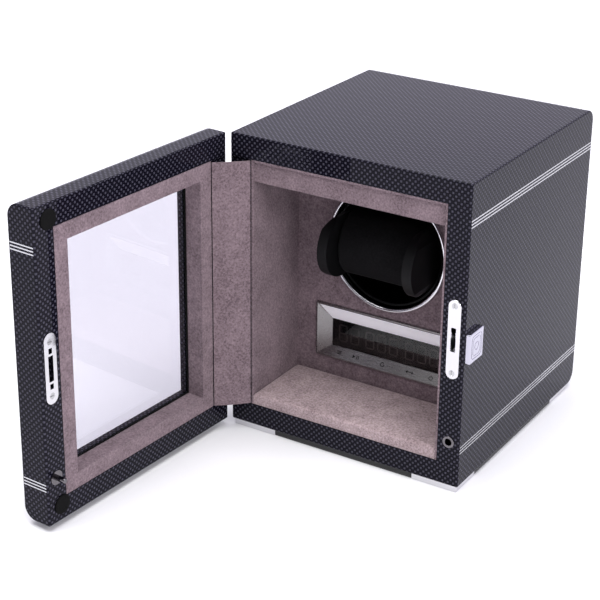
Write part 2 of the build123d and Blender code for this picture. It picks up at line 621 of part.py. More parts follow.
with BuildPart() as power_jack:
    disc(JACK_X, BACK, JACK_Z, 7.0, 1.2)
    disc(JACK_X, BACK - 14, JACK_Z, 5.5, 14)
    disc(JACK_X, BACK - 9, JACK_Z, 2.8, 12, Mode.SUBTRACT)
    disc(JACK_X, BACK - 9, JACK_Z, 1.0, 9)

# ---------------------------------------------------------------- lock
with BuildPart() as lock_plate:
    with BuildSketch(front_plane(PLATE_Y)):
        with Locations((LOCK_X, LOCK_Z)):
            SlotOverall(49.6, 8.2, rotation=90)
            RectangleRounded(3.2, 15.0, 0.6, mode=Mode.SUBTRACT)
    extrude(amount=PLATE_THICKNESS)
    chamfer(faces().sort_by(Axis.Y)[0].outer_wire().edges(), 0.25)
    with Locations(*lock_seats):
        CounterSinkHole(1.0, 1.9, PLATE_THICKNESS, 90)

lock_screws = countersunk_screws(lock_seats, **LOCK_SCREWS)

with BuildPart() as lock_case:
    half_x, half_z = CASE_HALF
    block((LOCK_X - half_x, PLATE_Y, LOCK_Z - half_z), (LOCK_X + half_x, CASE_BACK - 0.3, LOCK_Z + half_z))
    block(
        (LOCK_X - half_x + CASE_SHEET, PLATE_Y - 1, LOCK_Z - half_z + CASE_SHEET),
        (LOCK_X + half_x - CASE_SHEET, CASE_BACK - 1.0, LOCK_Z + half_z - CASE_SHEET),
        Mode.SUBTRACT,
    )
    with Locations(Plane(origin=(LOCK_X, HOOK_Y, HOOK_Z), z_dir=(1, 0, 0))):
        Cylinder(PIN_RADIUS, 4 * half_x, mode=Mode.SUBTRACT)
    with Locations(Plane(origin=(LOCK_X + half_x, BUTTON_Y, BUTTON_Z), z_dir=(1, 0, 0))):
        Cylinder(STEM_RADIUS + 0.3, 4 * CASE_SHEET, mode=Mode.SUBTRACT)

with BuildPart() as hook_pin:
    with Locations(Plane(origin=(LOCK_X, HOOK_Y, HOOK_Z), z_dir=(1, 0, 0))):
        Cylinder(PIN_RADIUS, 2 * CASE_HALF[0])

HOOK_OUTER = 12.5
HOOK_INNER = 9.0
with BuildPart() as latch_hook:
    with BuildSketch(Plane.YZ.offset(LOCK_X - 1.2)):
        with BuildLine(Plane((HOOK_Y, HOOK_Z, 0))):
            outer_arc = CenterArc((0, 0), HOOK_OUTER, 30, 65)
            inner_arc = CenterArc((0, 0), HOOK_INNER, 30, 65)
            Line(outer_arc @ 0, inner_arc @ 0)
            Line(outer_arc @ 1, inner_arc @ 1)
        make_face()
        with BuildLine(Plane((HOOK_Y, HOOK_Z, 0))):
            Polyline((0, -1.5), (9, 4.5), (6.2, 7.6), (-1.8, 1.5), close=True)
        make_face()
        with Locations((HOOK_Y, HOOK_Z)):
            Circle(2.4)
            Circle(PIN_RADIUS + SHAFT_CLEARANCE, mode=Mode.SUBTRACT)
    extrude(amount=2.4)

with BuildPart() as push_button:
    block(
        (SIDE - BUTTON_SUNK, BUTTON_Y - BUTTON_HALF[0], BUTTON_Z - BUTTON_HALF[1]),
        (SIDE + BUTTON_PROUD, BUTTON_Y + BUTTON_HALF[0], BUTTON_Z + BUTTON_HALF[1]),
    )
    fillet(edges().filter_by(Axis.X), 0.8)
    fillet(faces().sort_by(Axis.X)[-1].edges(), 0.4)
    button_face = Plane.YZ.offset(SIDE + BUTTON_PROUD)
    with BuildSketch(button_face):
        with Locations((BUTTON_Y, BUTTON_Z)):
            for inset in (2.0, 3.6):
                width = 2 * (BUTTON_HALF[0] - inset)
                height = 2 * (BUTTON_HALF[1] - inset)
                RectangleRounded(width, height, 2.6)
                RectangleRounded(width - 0.8, height - 0.8, 2.2, mode=Mode.SUBTRACT)
            Circle(2.6)
            Circle(2.1, mode=Mode.SUBTRACT)
    extrude(amount=-0.25, mode=Mode.SUBTRACT)
    block(
        (SIDE - BUTTON_SUNK, BUTTON_Y - 6.8, BUTTON_Z - 7.9),
        (SIDE + BUTTON_HOLLOW, BUTTON_Y + 6.8, BUTTON_Z + 7.9),
        Mode.SUBTRACT,
    )
    with Locations(Plane(origin=(SIDE + BUTTON_HOLLOW, BUTTON_Y, BUTTON_Z), z_dir=(1, 0, 0))):
        Cylinder(STEM_RADIUS, BUTTON_HOLLOW + 3.6, align=TO_TOP)

button_spring = coil_spring(
    (SIDE - BUTTON_POCKET, BUTTON_Y, BUTTON_Z), (1, 0, 0), 3.4, 0.3, BUTTON_POCKET + BUTTON_HOLLOW, 4
)

# ---------------------------------------------------------------- door switch
PLUNGER_FRONT = FRONT + 6.2
PLUNGER_SHOULDER = PLUNGER_FRONT + 5.0
SWITCH_FRONT = FRONT + 17.0
FERRULE_END = FRONT + 8.0
with BuildPart() as switch_ferrule:
    disc(LOCK_X, FRONT - 0.4, SWITCH_Z, 3.75, 0.4)
    disc(LOCK_X, FRONT - 0.4, SWITCH_Z, SWITCH_BORE, FERRULE_END - FRONT + 0.4)
    disc(LOCK_X, FRONT - 1, SWITCH_Z, 2.2, 10, Mode.SUBTRACT)
    chamfer(faces().sort_by(Axis.Y)[0].edges(), 0.15)

with BuildPart() as switch_plunger:
    disc(LOCK_X, PLUNGER_FRONT, SWITCH_Z, 2.1, PLUNGER_SHOULDER - PLUNGER_FRONT)
    fillet(edges().group_by(Axis.Y)[0], 0.6)
    disc(LOCK_X, FERRULE_END + 0.1, SWITCH_Z, 2.8, PLUNGER_SHOULDER - FERRULE_END - 0.1)
    disc(LOCK_X, PLUNGER_SHOULDER, SWITCH_Z, 0.9, SWITCH_FRONT + 1.0 - PLUNGER_SHOULDER)

plunger_spring = coil_spring(
    (LOCK_X, PLUNGER_SHOULDER, SWITCH_Z), TO_BACK, 1.7, 0.25, SWITCH_FRONT - PLUNGER_SHOULDER, 5
)

with BuildPart() as door_switch:
    disc(LOCK_X, SWITCH_FRONT, SWITCH_Z, SWITCH_BORE, 6.5)
    disc(LOCK_X, SWITCH_FRONT - 1, SWITCH_Z, 1.2, 5.0, Mode.SUBTRACT)

# ---------------------------------------------------------------- hinges
KNUCKLE_LENGTH = HINGE_LENGTH / KNUCKLES


def knuckle_spans(first):
    """Low and high end of every second knuckle of both hinges, counted from the given one."""
    for z in HINGE_HEIGHTS:
        for number in range(first, KNUCKLES, 2):
            low = z - HINGE_LENGTH / 2 + number * KNUCKLE_LENGTH
            yield low + KNUCKLE_GAP, low + KNUCKLE_LENGTH - KNUCKLE_GAP


with BuildPart() as cabinet_hinge_leaves:
    for z in HINGE_HEIGHTS:
        half = HINGE_LENGTH / 2
        block((-SIDE + 1.2, LEAF_Y, z - half), (-LEAF_X_END, LEAF_Y + LEAF, z + half))
    for low, high in knuckle_spans(0):
        block((HINGE_X, LEAF_Y, low), (-SIDE + 1.2, LEAF_Y + LEAF, high))
        with Locations((HINGE_X, HINGE_Y, (low + high) / 2)):
            Cylinder(KNUCKLE_RADIUS, high - low)
    for z in HINGE_HEIGHTS:
        with Locations((HINGE_X, HINGE_Y, z)):
            Cylinder(PIN_RADIUS, HINGE_LENGTH + 2, mode=Mode.SUBTRACT)
    with Locations(*leaf_seats):
        CounterSinkHole(0.9, 1.8, LEAF, 90)

with BuildPart() as door_hinge_leaves:
    for z in HINGE_HEIGHTS:
        half = HINGE_LENGTH / 2
        door_block((1.2, COVER_REBATE, z - half), (SIDE - LEAF_X_END, COVER_REBATE + LEAF, z + half))
    for low, high in knuckle_spans(1):
        door_block((HINGE_U, COVER_REBATE, low), (1.2, COVER_REBATE + LEAF, high))
        with Locations((HINGE_X, HINGE_Y, (low + high) / 2)):
            Cylinder(KNUCKLE_RADIUS, high - low)
    for z in HINGE_HEIGHTS:
        with Locations((HINGE_X, HINGE_Y, z)):
            Cylinder(PIN_RADIUS + SHAFT_CLEARANCE, HINGE_LENGTH + 2, mode=Mode.SUBTRACT)
    with Locations(*door_leaf_seats):
        CounterSinkHole(0.9, 1.8, LEAF, 90)

with BuildPart() as hinge_pins:
    for z in HINGE_HEIGHTS:
        with Locations((HINGE_X, HINGE_Y, z)):
            Cylinder(PIN_RADIUS, HINGE_LENGTH)

cabinet_hinge_screws = countersunk_screws(leaf_seats, **HINGE_SCREWS)
door_hinge_screws = countersunk_screws(door_leaf_seats, **HINGE_SCREWS)

# ---------------------------------------------------------------- door
TRIM_WIDTH = 9.8
TRIM_DEPTH = 11.4
TRIM_GAP = 0.3
GASKET = 1.2
PANE = 2.2
WINDOW_U = WALL + TRIM_WIDTH
WINDOW_Z = (OPEN_LOW + TRIM_WIDTH, OPEN_HIGH - TRIM_WIDTH)
POCKET_DEPTH = TRIM_DEPTH + GASKET + PANE
PIN_Z = SWITCH_Z
PAD_RADIUS = 5.7
PAD_U = CABINET_WIDTH - 10.5
PAD_HEIGHTS = (BOTTOM + 10.2, TOP - 9.0)


def door_rectangle(inset, low, high, radius=0.0):
    """A rectangle centred on the door's width, set in from both edges."""
    width = CABINET_WIDTH - 2 * inset
    with Locations((CABINET_WIDTH / 2, (low + high) / 2)):
        if radius:
            RectangleRounded(width, high - low, radius)
        else:
            Rectangle(width, high - low)


with BuildPart() as door_frame:
    with BuildSketch(door_face(0)):
        door_rectangle(0, BOTTOM, TOP)
    extrude(amount=DOOR_THICKNESS)
    outward = Axis((0, 0, 0), DOOR_OUT)
    along = Axis((0, 0, 0), DOOR_ALONG)
    outer_long = faces().sort_by(outward)[-1].edges().filter_by(along)
    fillet(outer_long, OUTER_ROUND)
    door_ends = faces().filter_by(along).edges()
    inner_long = faces().sort_by(outward)[0].edges().filter_by(along)
    fillet(door_ends + inner_long, EDGE_EASE)
    with BuildSketch(door_face(0)):
        door_rectangle(WALL - TRIM_GAP, OPEN_LOW - TRIM_GAP, OPEN_HIGH + TRIM_GAP)
    extrude(amount=POCKET_DEPTH, mode=Mode.SUBTRACT)
    with BuildSketch(door_face(0)):
        door_rectangle(WINDOW_U, *WINDOW_Z)
    extrude(amount=DOOR_THICKNESS + 1, mode=Mode.SUBTRACT)
    for z in INLAY_HEIGHTS:
        low, high = z - INLAY_WIDTH / 2, z + INLAY_WIDTH / 2
        thick = DOOR_THICKNESS - INLAY_END
        for start, end in ((-1, INLAY_DEPTH), (CABINET_WIDTH - INLAY_DEPTH, CABINET_WIDTH + 1)):
            door_block((start, INLAY_END, low), (end, thick, high), Mode.SUBTRACT)
    # rebate for the folded hinge cover, then the mortises and grooves of the two hinges
    door_block((SIDE - COVER_X_END, -1, OPEN_LOW), (WALL, COVER_REBATE, OPEN_HIGH), Mode.SUBTRACT)
    for z in HINGE_HEIGHTS:
        half = HINGE_LENGTH / 2 + KNUCKLE_GAP
        door_block((-1, -1, z - half), (SIDE - LEAF_X_END, COVER_REBATE + LEAF, z + half), Mode.SUBTRACT)
        with Locations((HINGE_X, HINGE_Y, z)):
            Cylinder(KNUCKLE_RADIUS + 0.3, 2 * half, mode=Mode.SUBTRACT)
    with Locations(*[s.offset(-LEAF) for s in door_leaf_seats]):
        Hole(HINGE_SCREWS["shank_radius"], HINGE_SCREWS["length"] - LEAF)
    # strike plate recess, the pocket that the hook swings into, screw holes
    with BuildSketch(door_face(-1)):
        with Locations((STRIKE_U, STRIKE_Z)):
            SlotOverall(42.8, 9.4, rotation=90)
    extrude(amount=1 + PLATE_THICKNESS - PLATE_PROUD, mode=Mode.SUBTRACT)
    door_block((STRIKE_U - 2.2, 0, STRIKE_Z - 12), (STRIKE_U + 2.2, 10, STRIKE_Z + 12), Mode.SUBTRACT)
    with Locations(*[s.offset(-PLATE_THICKNESS) for s in strike_seats]):
        Hole(LOCK_SCREWS["shank_radius"], LOCK_SCREWS["length"] - PLATE_THICKNESS)
    for z in PAD_HEIGHTS:
        door_disc(PAD_U, 0, z, PAD_RADIUS + 0.1, 0.6, Mode.SUBTRACT)
    door_disc(LOCK_X + SIDE, 0, PIN_Z, 1.6, 8.0, Mode.SUBTRACT)

with BuildPart() as door_inlays:
    for z in INLAY_HEIGHTS:
        low, high = z - INLAY_WIDTH / 2, z + INLAY_WIDTH / 2
        thick = DOOR_THICKNESS - INLAY_END
        door_block((CABINET_WIDTH - INLAY_DEPTH, INLAY_END, low), (CABINET_WIDTH + 0.02, thick, high))
        door_block((-0.02, INLAY_END, low), (INLAY_DEPTH, thick, high))

with BuildPart() as window_trim:
    with BuildSketch(door_face(0)):
        door_rectangle(WALL, OPEN_LOW, OPEN_HIGH)
    extrude(amount=TRIM_DEPTH)
    with BuildSketch(door_face(0)):
        door_rectangle(WINDOW_U, *WINDOW_Z)
    extrude(amount=TRIM_DEPTH, mode=Mode.SUBTRACT)
    # a saw cut at each mitre leaves four members
    for u, z, turn in (
        (WALL, OPEN_LOW, 45),
        (CABINET_WIDTH - WALL, OPEN_LOW, 135),
        (CABINET_WIDTH - WALL, OPEN_HIGH, 225),
        (WALL, OPEN_HIGH, 315),
    ):
        with Locations(door_face(TRIM_DEPTH / 2) * Location((u, z, 0), (0, 0, turn))):
            Box(4 * TRIM_WIDTH, 0.1, 2 * TRIM_DEPTH, mode=Mode.SUBTRACT)

with BuildPart() as pane_gasket:
    with BuildSketch(door_face(TRIM_DEPTH)):
        door_rectangle(WALL + 2, OPEN_LOW + 2, OPEN_HIGH - 2)
        with Locations((CABINET_WIDTH / 2, MIDDLE)):
            Rectangle(CABINET_WIDTH - 2 * WINDOW_U - 1, WINDOW_Z[1] - WINDOW_Z[0] - 1, mode=Mode.SUBTRACT)
    extrude(amount=GASKET)

with BuildPart() as window_pane:
    with BuildSketch(door_face(TRIM_DEPTH + GASKET)):
        door_rectangle(WALL + 2, OPEN_LOW + 2, OPEN_HIGH - 2)
    extrude(amount=PANE)

with BuildPart() as strike_plate:
    with BuildSketch(door_face(-PLATE_PROUD)):
        with Locations((STRIKE_U, STRIKE_Z)):
            SlotOverall(42.4, 9.0, rotation=90)
            Rectangle(3.6, 15.3, mode=Mode.SUBTRACT)
        with Locations((STRIKE_U, STRIKE_Z - 10.6), (STRIKE_U, STRIKE_Z + 10.6)):
            Rectangle(2.6, 3.2, mode=Mode.SUBTRACT)
    extrude(amount=PLATE_THICKNESS)
    with Locations(*strike_seats):
        CounterSinkHole(1.0, 1.9, PLATE_THICKNESS, 90)

strike_screws = countersunk_screws(strike_seats, **LOCK_SCREWS)

with BuildPart() as bumper_pads:
    for z in PAD_HEIGHTS:
        door_disc(PAD_U, -1.0, z, PAD_RADIUS, 1.6)
    fillet(edges().group_by(outward)[0], 0.5)

with BuildPart() as door_pin:
    door_disc(LOCK_X + SIDE, -0.4, PIN_Z, 4.3, 0.4)
    door_disc(LOCK_X + SIDE, -7.0, PIN_Z, 1.6, 15.0)
    fillet(edges().group_by(outward)[0], 0.7)

# ---------------------------------------------------------------- hinge cover, a strip of suede
COVER_THICKNESS = 0.6
cabinet_end = Vector(-OPEN_X - 0.5, FRONT - 0.4, 0)
door_end = door_point(WALL - 0.5, -0.4, 0)
cover_bulge = (cabinet_end + door_end) / 2 + Vector(1, -1, 0).normalized() * 1.4
with BuildPart() as hinge_cover:
    with BuildSketch(Plane.XY.offset(OPEN_LOW + 0.5)):
        with BuildLine():
            ThreePointArc(cabinet_end, cover_bulge, door_end)
        trace(line_width=COVER_THICKNESS)
    extrude(amount=OPEN_HIGH - OPEN_LOW - 1.0)

# ---------------------------------------------------------------- one STEP file for each piece
pieces = {
    "cabinet_shell": cabinet_shell,
    "cabinet_inlays": cabinet_inlays,
    "corner_feet": corner_feet,
    "foot_screws": foot_screws,
    "base_felt": base_felt,
    "base_board": base_board,
    "compartment_lining": compartment_lining,
    "header_board": header_board,
    "floor_pad": floor_pad,
    "fascia_board": fascia_board,
    "fascia_cleats": fascia_cleats,
    "drum_ring": drum_ring,
    "display_bezel": display_bezel,
    "screen_lens": screen_lens,
    "lcd_panel": lcd_panel,
    "control_board": control_board,
    "board_components": board_components,
    "drum_housing": drum_housing,
    "shaft_bearings": shaft_bearings,
    "drum_cup": drum_cup,
    "drum_shaft": drum_shaft,
    "drum_pulley": drum_pulley,
    "cuff_cheeks": cuff_cheeks,
    "cuff_spine": cuff_spine,
    "cuff_cushion": cuff_cushion,
    "motor_mount": motor_mount,
    "drive_screws": drive_screws,
    "gear_motor": gear_motor,
    "motor_shaft": motor_shaft,
    "motor_pulley": motor_pulley,
    "drive_belt": drive_belt,
    "back_panel": back_panel,
    "back_panel_screws": back_panel_screws,
    "power_jack": power_jack,
    "lock_plate": lock_plate,
    "lock_screws": lock_screws,
    "lock_case": lock_case,
    "hook_pin": hook_pin,
    "latch_hook": latch_hook,
    "push_button": push_button,
    "button_spring": button_spring,
    "switch_ferrule": switch_ferrule,
    "switch_plunger": switch_plunger,
    "plunger_spring": plunger_spring,
    "door_switch": door_switch,
    "cabinet_hinge_leaves": cabinet_hinge_leaves,
    "door_hinge_leaves": door_hinge_leaves,
    "hinge_pins": hinge_pins,
    "cabinet_hinge_screws": cabinet_hinge_screws,
    "door_hinge_screws": door_hinge_screws,
    "door_frame": door_frame,
    "door_inlays": door_inlays,
    "window_trim": window_trim,
    "pane_gasket": pane_gasket,
    "window_pane": window_pane,
    "strike_plate": strike_plate,
    "strike_screws": strike_screws,
    "bumper_pads": bumper_pads,
    "door_pin": door_pin,
    "hinge_cover": hinge_cover,
}

os.makedirs("parts", exist_ok=True)
for name, piece in pieces.items():
    piece.part.label = name
    export_step(piece.part, f"parts/{name}.step")
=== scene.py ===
import bpy
import bmesh
import json
import math
from mathutils import Matrix, Vector


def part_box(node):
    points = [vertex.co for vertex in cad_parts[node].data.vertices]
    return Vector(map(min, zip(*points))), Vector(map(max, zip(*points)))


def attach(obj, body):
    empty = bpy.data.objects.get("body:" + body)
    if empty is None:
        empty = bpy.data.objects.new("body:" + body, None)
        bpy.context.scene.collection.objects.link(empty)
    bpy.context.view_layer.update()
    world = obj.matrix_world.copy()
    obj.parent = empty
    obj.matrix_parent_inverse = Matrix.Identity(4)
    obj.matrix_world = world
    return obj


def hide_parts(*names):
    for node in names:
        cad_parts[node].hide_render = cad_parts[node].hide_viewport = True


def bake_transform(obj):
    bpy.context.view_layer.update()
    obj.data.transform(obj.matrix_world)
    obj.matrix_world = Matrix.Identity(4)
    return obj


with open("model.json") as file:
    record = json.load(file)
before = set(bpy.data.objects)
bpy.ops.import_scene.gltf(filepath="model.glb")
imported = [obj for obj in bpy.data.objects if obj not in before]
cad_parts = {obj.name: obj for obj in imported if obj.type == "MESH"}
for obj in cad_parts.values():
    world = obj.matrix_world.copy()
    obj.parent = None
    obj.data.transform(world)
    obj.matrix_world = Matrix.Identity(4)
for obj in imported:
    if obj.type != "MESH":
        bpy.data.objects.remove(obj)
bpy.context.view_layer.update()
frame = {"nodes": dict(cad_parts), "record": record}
MM = 0.001


# ---------------------------------------------------------------- shader building
def new_group(name, inputs, outputs):
    """A shader node group with float inputs and the named outputs."""
    tree = bpy.data.node_groups.new(name, "ShaderNodeTree")
    for label, default in inputs.items():
        socket = tree.interface.new_socket(label, in_out="INPUT", socket_type="NodeSocketFloat")
        socket.default_value = default
    for label in outputs:
        tree.interface.new_socket(label, in_out="OUTPUT", socket_type="NodeSocketFloat")
    tree.nodes.new("NodeGroupInput").name = "in"
    tree.nodes.new("NodeGroupOutput").name = "out"
    return tree


def feed(tree, socket, value):
    """Set a socket to a number or link it to another socket."""
    if isinstance(value, bpy.types.NodeSocket):
        tree.links.new(value, socket)
    else:
        socket.default_value = value


def calc(tree, operation, *values):
    """A Math node's result."""
    node = tree.nodes.new("ShaderNodeMath")
    node.operation = operation
    for socket, value in zip(node.inputs, values):
        feed(tree, socket, value)
    return node.outputs[0]


def blend_value(tree, factor, low, high):
    """Low where the factor is 0, high where it is 1."""
    node = tree.nodes.new("ShaderNodeMix")
    feed(tree, node.inputs[0], factor)
    feed(tree, node.inputs[2], low)
    feed(tree, node.inputs[3], high)
    return node.outputs[0]


def blend_color(tree, factor, low, high):
    """A mix of two colours, each a triple or a socket."""
    node = tree.nodes.new("ShaderNodeMix")
    node.data_type = "RGBA"
    feed(tree, node.inputs[0], factor)
    for socket, value in ((node.inputs[6], low), (node.inputs[7], high)):
        feed(tree, socket, value if isinstance(value, bpy.types.NodeSocket) else (*value, 1.0))
    return node.outputs[2]


def object_coordinates(tree, stretch=(1, 1, 1)):
    """Object coordinates, stretched along the axes."""
    place = tree.nodes.new("ShaderNodeTexCoord").outputs["Object"]
    if stretch == (1, 1, 1):
        return place
    mapping = tree.nodes.new("ShaderNodeMapping")
    mapping.inputs["Scale"].default_value = stretch
    tree.links.new(place, mapping.inputs["Vector"])
    return mapping.outputs["Vector"]


def noise(tree, scale, detail=2.0, roughness=0.5, stretch=(1, 1, 1)):
    """Noise from 0 to 1 on Object coordinates, in features per metre."""
    node = tree.nodes.new("ShaderNodeTexNoise")
    tree.links.new(object_coordinates(tree, stretch), node.inputs["Vector"])
    feed(tree, node.inputs["Scale"], scale)
    node.inputs["Detail"].default_value = detail
    node.inputs["Roughness"].default_value = roughness
    return node.outputs["Fac"]


def weave_group():
    """Plain weave. Weft and Warp light up the middle of each float for the painted highlight on its crown,
    Height is its crown.
    """
    tree = new_group("plain_weave", {"Tow": 2.0 * MM}, ("Weft", "Warp", "Height"))
    coordinates = tree.nodes.new("ShaderNodeTexCoord")
    place = tree.nodes.new("ShaderNodeSeparateXYZ")
    facing = tree.nodes.new("ShaderNodeSeparateXYZ")
    tree.links.new(coordinates.outputs["Object"], place.inputs[0])
    tree.links.new(coordinates.outputs["Normal"], facing.inputs[0])
    x, y, z = place.outputs
    nx, ny, nz = [calc(tree, "ABSOLUTE", axis) for axis in facing.outputs]
    side = calc(tree, "GREATER_THAN", nx, calc(tree, "MAXIMUM", ny, nz))
    level = calc(tree, "GREATER_THAN", nz, calc(tree, "MAXIMUM", nx, ny))
    tow = tree.nodes["in"].outputs["Tow"]
    across = calc(tree, "DIVIDE", blend_value(tree, side, x, y), tow)
    along = calc(tree, "DIVIDE", blend_value(tree, level, z, y), tow)
    cell = calc(tree, "ADD", calc(tree, "FLOOR", across), calc(tree, "FLOOR", along))
    weft = calc(tree, "GREATER_THAN", calc(tree, "FLOORED_MODULO", cell, 2.0), 0.5)
    across_part = calc(tree, "FRACT", across)
    along_part = calc(tree, "FRACT", along)

    def crown(part, run):
        side_way = calc(tree, "MULTIPLY_ADD", part, 2.0, -1.0)
        hump = calc(tree, "SUBTRACT", 1.0, calc(tree, "MULTIPLY", side_way, side_way))
        return calc(tree, "MULTIPLY", hump, calc(tree, "SINE", calc(tree, "MULTIPLY", run, math.pi)))

    weft_crown = calc(tree, "MULTIPLY", weft, crown(along_part, across_part))
    warp_crown = calc(tree, "MULTIPLY", calc(tree, "SUBTRACT", 1.0, weft), crown(across_part, along_part))
    results = tree.nodes["out"].inputs
    tree.links.new(weft_crown, results["Weft"])
    tree.links.new(warp_crown, results["Warp"])
    tree.links.new(calc(tree, "ADD", weft_crown, warp_crown), results["Height"])
    return tree


def nap_group():
    """Suede: Shade drifts where the nap lies differently, Fibre is the fine pile."""
    tree = new_group("suede_nap", {"Patch": 60.0, "Pile": 800.0}, ("Shade", "Fibre"))
    entry = tree.nodes["in"].outputs
    drift = noise(tree, entry["Patch"], 3.0, 0.6)
    pile = noise(tree, entry["Pile"], 2.0, 0.7)
    mix = calc(tree, "ADD", calc(tree, "MULTIPLY", drift, 0.3), calc(tree, "MULTIPLY", pile, 0.7))
    shade = calc(tree, "MULTIPLY_ADD", calc(tree, "SUBTRACT", mix, 0.5), 3.3, 0.5)
    tree.links.new(shade, tree.nodes["out"].inputs["Shade"])
    tree.links.new(pile, tree.nodes["out"].inputs["Fibre"])
    return tree


def handling_group():
    """Faint smears and hairlines on polished and moulded surfaces."""
    tree = new_group("handling", {"Smear": 40.0}, ("Smear", "Hairline"))
    smear = noise(tree, tree.nodes["in"].outputs["Smear"], 5.0, 0.65)
    hairline = noise(tree, 3500.0, 2.0, 0.5, stretch=(0.04, 1.0, 1.0))
    tree.links.new(smear, tree.nodes["out"].inputs["Smear"])
    tree.links.new(hairline, tree.nodes["out"].inputs["Hairline"])
    return tree


WEAVE = weave_group()
NAP = nap_group()
HANDLING = handling_group()


class Finish:
    """One material: its tree, its Principled shader and shortcuts to patterns."""

    def __init__(self, name, color, roughness, metallic=0.0, **settings):
        self.material = bpy.data.materials.new(name)
        self.material.use_nodes = True
        self.tree = self.material.node_tree
        self.shader = self.tree.nodes["Principled BSDF"]
        self.set("Base Color", (*color, 1.0))
        self.set("Roughness", roughness)
        self.set("Metallic", metallic)
        for label, value in settings.items():
            self.set(label.replace("_", " "), value)
        self.material.diffuse_color = (*color, 1.0)

    def set(self, label, value):
        feed(self.tree, self.shader.inputs[label], value)

    def group(self, tree, **values):
        node = self.tree.nodes.new("ShaderNodeGroup")
        node.node_tree = tree
        for label, value in values.items():
            node.inputs[label].default_value = value
        return node.outputs

    def bump(self, height, strength, distance):
        node = self.tree.nodes.new("ShaderNodeBump")
        node.inputs["Strength"].default_value = strength
        node.inputs["Distance"].default_value = distance
        self.tree.links.new(height, node.inputs["Height"])
        self.tree.links.new(node.outputs[0], self.shader.inputs["Normal"])

    def vary(self, label, factor, low, high):
        self.set(label, blend_value(self.tree, factor, low, high))


def lacquer():
    """Carbon cloth under a deep clear gloss lacquer. The crown of each float is painted lighter in the base
    colour: a painted sheen, strong on the weft and faint on the warp.
    """
    finish = Finish("carbon_lacquer", (0.01, 0.01, 0.011), 0.4, 0.0,
                    Coat_Weight=1.0, Coat_Roughness=0.015, Coat_IOR=1.17, Specular_IOR_Level=0.0)
    weave = finish.group(WEAVE, Tow=1.82 * MM)
    tree = finish.tree
    # Painted sheen: the base colour lightens towards the crown of each weft float, and a little towards the
    # crown of each warp float.
    weft_painted_sheen = blend_color(tree, weave["Weft"], (0.0012, 0.0008, 0.004), (0.069, 0.066, 0.09))
    finish.set("Base Color", blend_color(tree, weave["Warp"], weft_painted_sheen, (0.0085, 0.008, 0.013)))
    finish.vary("Roughness", weave["Height"], 0.55, 0.3)
    finish.bump(weave["Height"], 0.2, 0.03 * MM)
    return finish.material


def suede(name, dark, light, fibre=0.3, sheen=0.2):
    finish = Finish(name, dark, 0.95, Sheen_Weight=sheen, Sheen_Roughness=0.5, Specular_IOR_Level=0.1)
    finish.set("Sheen Tint", (0.86, 0.8, 0.82, 1.0))
    nap = finish.group(NAP, Patch=70.0, Pile=800.0)
    finish.set("Base Color", blend_color(finish.tree, nap["Shade"], dark, light))
    finish.vary("Roughness", nap["Shade"], 0.85, 1.0)
    finish.bump(nap["Fibre"], fibre, 0.25 * MM)
    return finish.material


def polished(name, color, roughness, marks=0.03):
    finish = Finish(name, color, roughness, 1.0)
    handling = finish.group(HANDLING, Smear=45.0)
    finish.vary("Roughness", handling["Smear"], roughness, roughness + marks)
    finish.set("Base Color", blend_color(finish.tree, handling["Smear"], color, [0.94 * c for c in color]))
    finish.bump(handling["Smear"], 0.02, 0.2 * MM)
    return finish.material


def brushed(name, color, roughness):
    finish = Finish(name, color, roughness, 1.0)
    handling = finish.group(HANDLING, Smear=30.0)
    finish.vary("Roughness", handling["Hairline"], roughness - 0.08, roughness + 0.12)
    finish.set("Base Color", blend_color(finish.tree, handling["Hairline"], color, [0.82 * c for c in color]))
    finish.bump(handling["Hairline"], 0.06, 0.05 * MM)
    return finish.material


def moulded(name, color, roughness, grain, coat=0.0, shine=0.5):
    finish = Finish(name, color, roughness, 0.0,
                    Coat_Weight=coat, Coat_Roughness=0.03, Specular_IOR_Level=shine)
    handling = finish.group(HANDLING, Smear=50.0)
    pits = noise(finish.tree, 1800.0, 2.0)
    finish.vary("Roughness", handling["Smear"], roughness, min(1.0, roughness + 0.1))
    finish.set("Base Color", blend_color(finish.tree, pits, color, [1.35 * c for c in color]))
    finish.bump(pits, grain, 0.1 * MM)
    return finish.material


def wood(name, dark, light, roughness):
    finish = Finish(name, dark, roughness)
    figure = noise(finish.tree, 160.0, 5.0, 0.65, stretch=(1.0, 1.0, 0.06))
    finish.set("Base Color", blend_color(finish.tree, figure, dark, light))
    finish.vary("Roughness", figure, roughness, min(1.0, roughness + 0.15))
    finish.bump(figure, 0.15, 0.2 * MM)
    return finish.material


def felt():
    finish = Finish("black_felt", (0.012, 0.012, 0.013), 1.0, Sheen_Weight=0.4, Sheen_Roughness=0.6)
    nap = finish.group(NAP, Patch=140.0, Pile=1500.0)
    dark, light = (0.006, 0.006, 0.007), (0.035, 0.035, 0.037)
    finish.set("Base Color", blend_color(finish.tree, nap["Shade"], dark, light))
    finish.bump(nap["Fibre"], 0.6, 0.4 * MM)
    return finish.material


def clear_glass(name, color):
    finish = Finish(name, color, 0.0, 0.0, Transmission_Weight=1.0, IOR=1.45)
    smear = finish.group(HANDLING, Smear=18.0)["Smear"]
    finish.set("Base Color", blend_color(finish.tree, smear, color, [0.97 * c for c in color]))
    return finish.material


def display_face():
    """The unlit panel: near black with a brown cast and a faint pixel haze."""
    finish = Finish("unlit_display", (0.012, 0.006, 0.006), 0.25, 0.0)
    haze = noise(finish.tree, 3000.0, 1.0)
    drift = noise(finish.tree, 50.0, 2.0)
    tone = calc(finish.tree, "MULTIPLY", haze, drift)
    finish.set("Base Color", blend_color(finish.tree, tone, (0.008, 0.004, 0.004), (0.03, 0.017, 0.016)))
    finish.vary("Roughness", haze, 0.2, 0.35)
    return finish.material


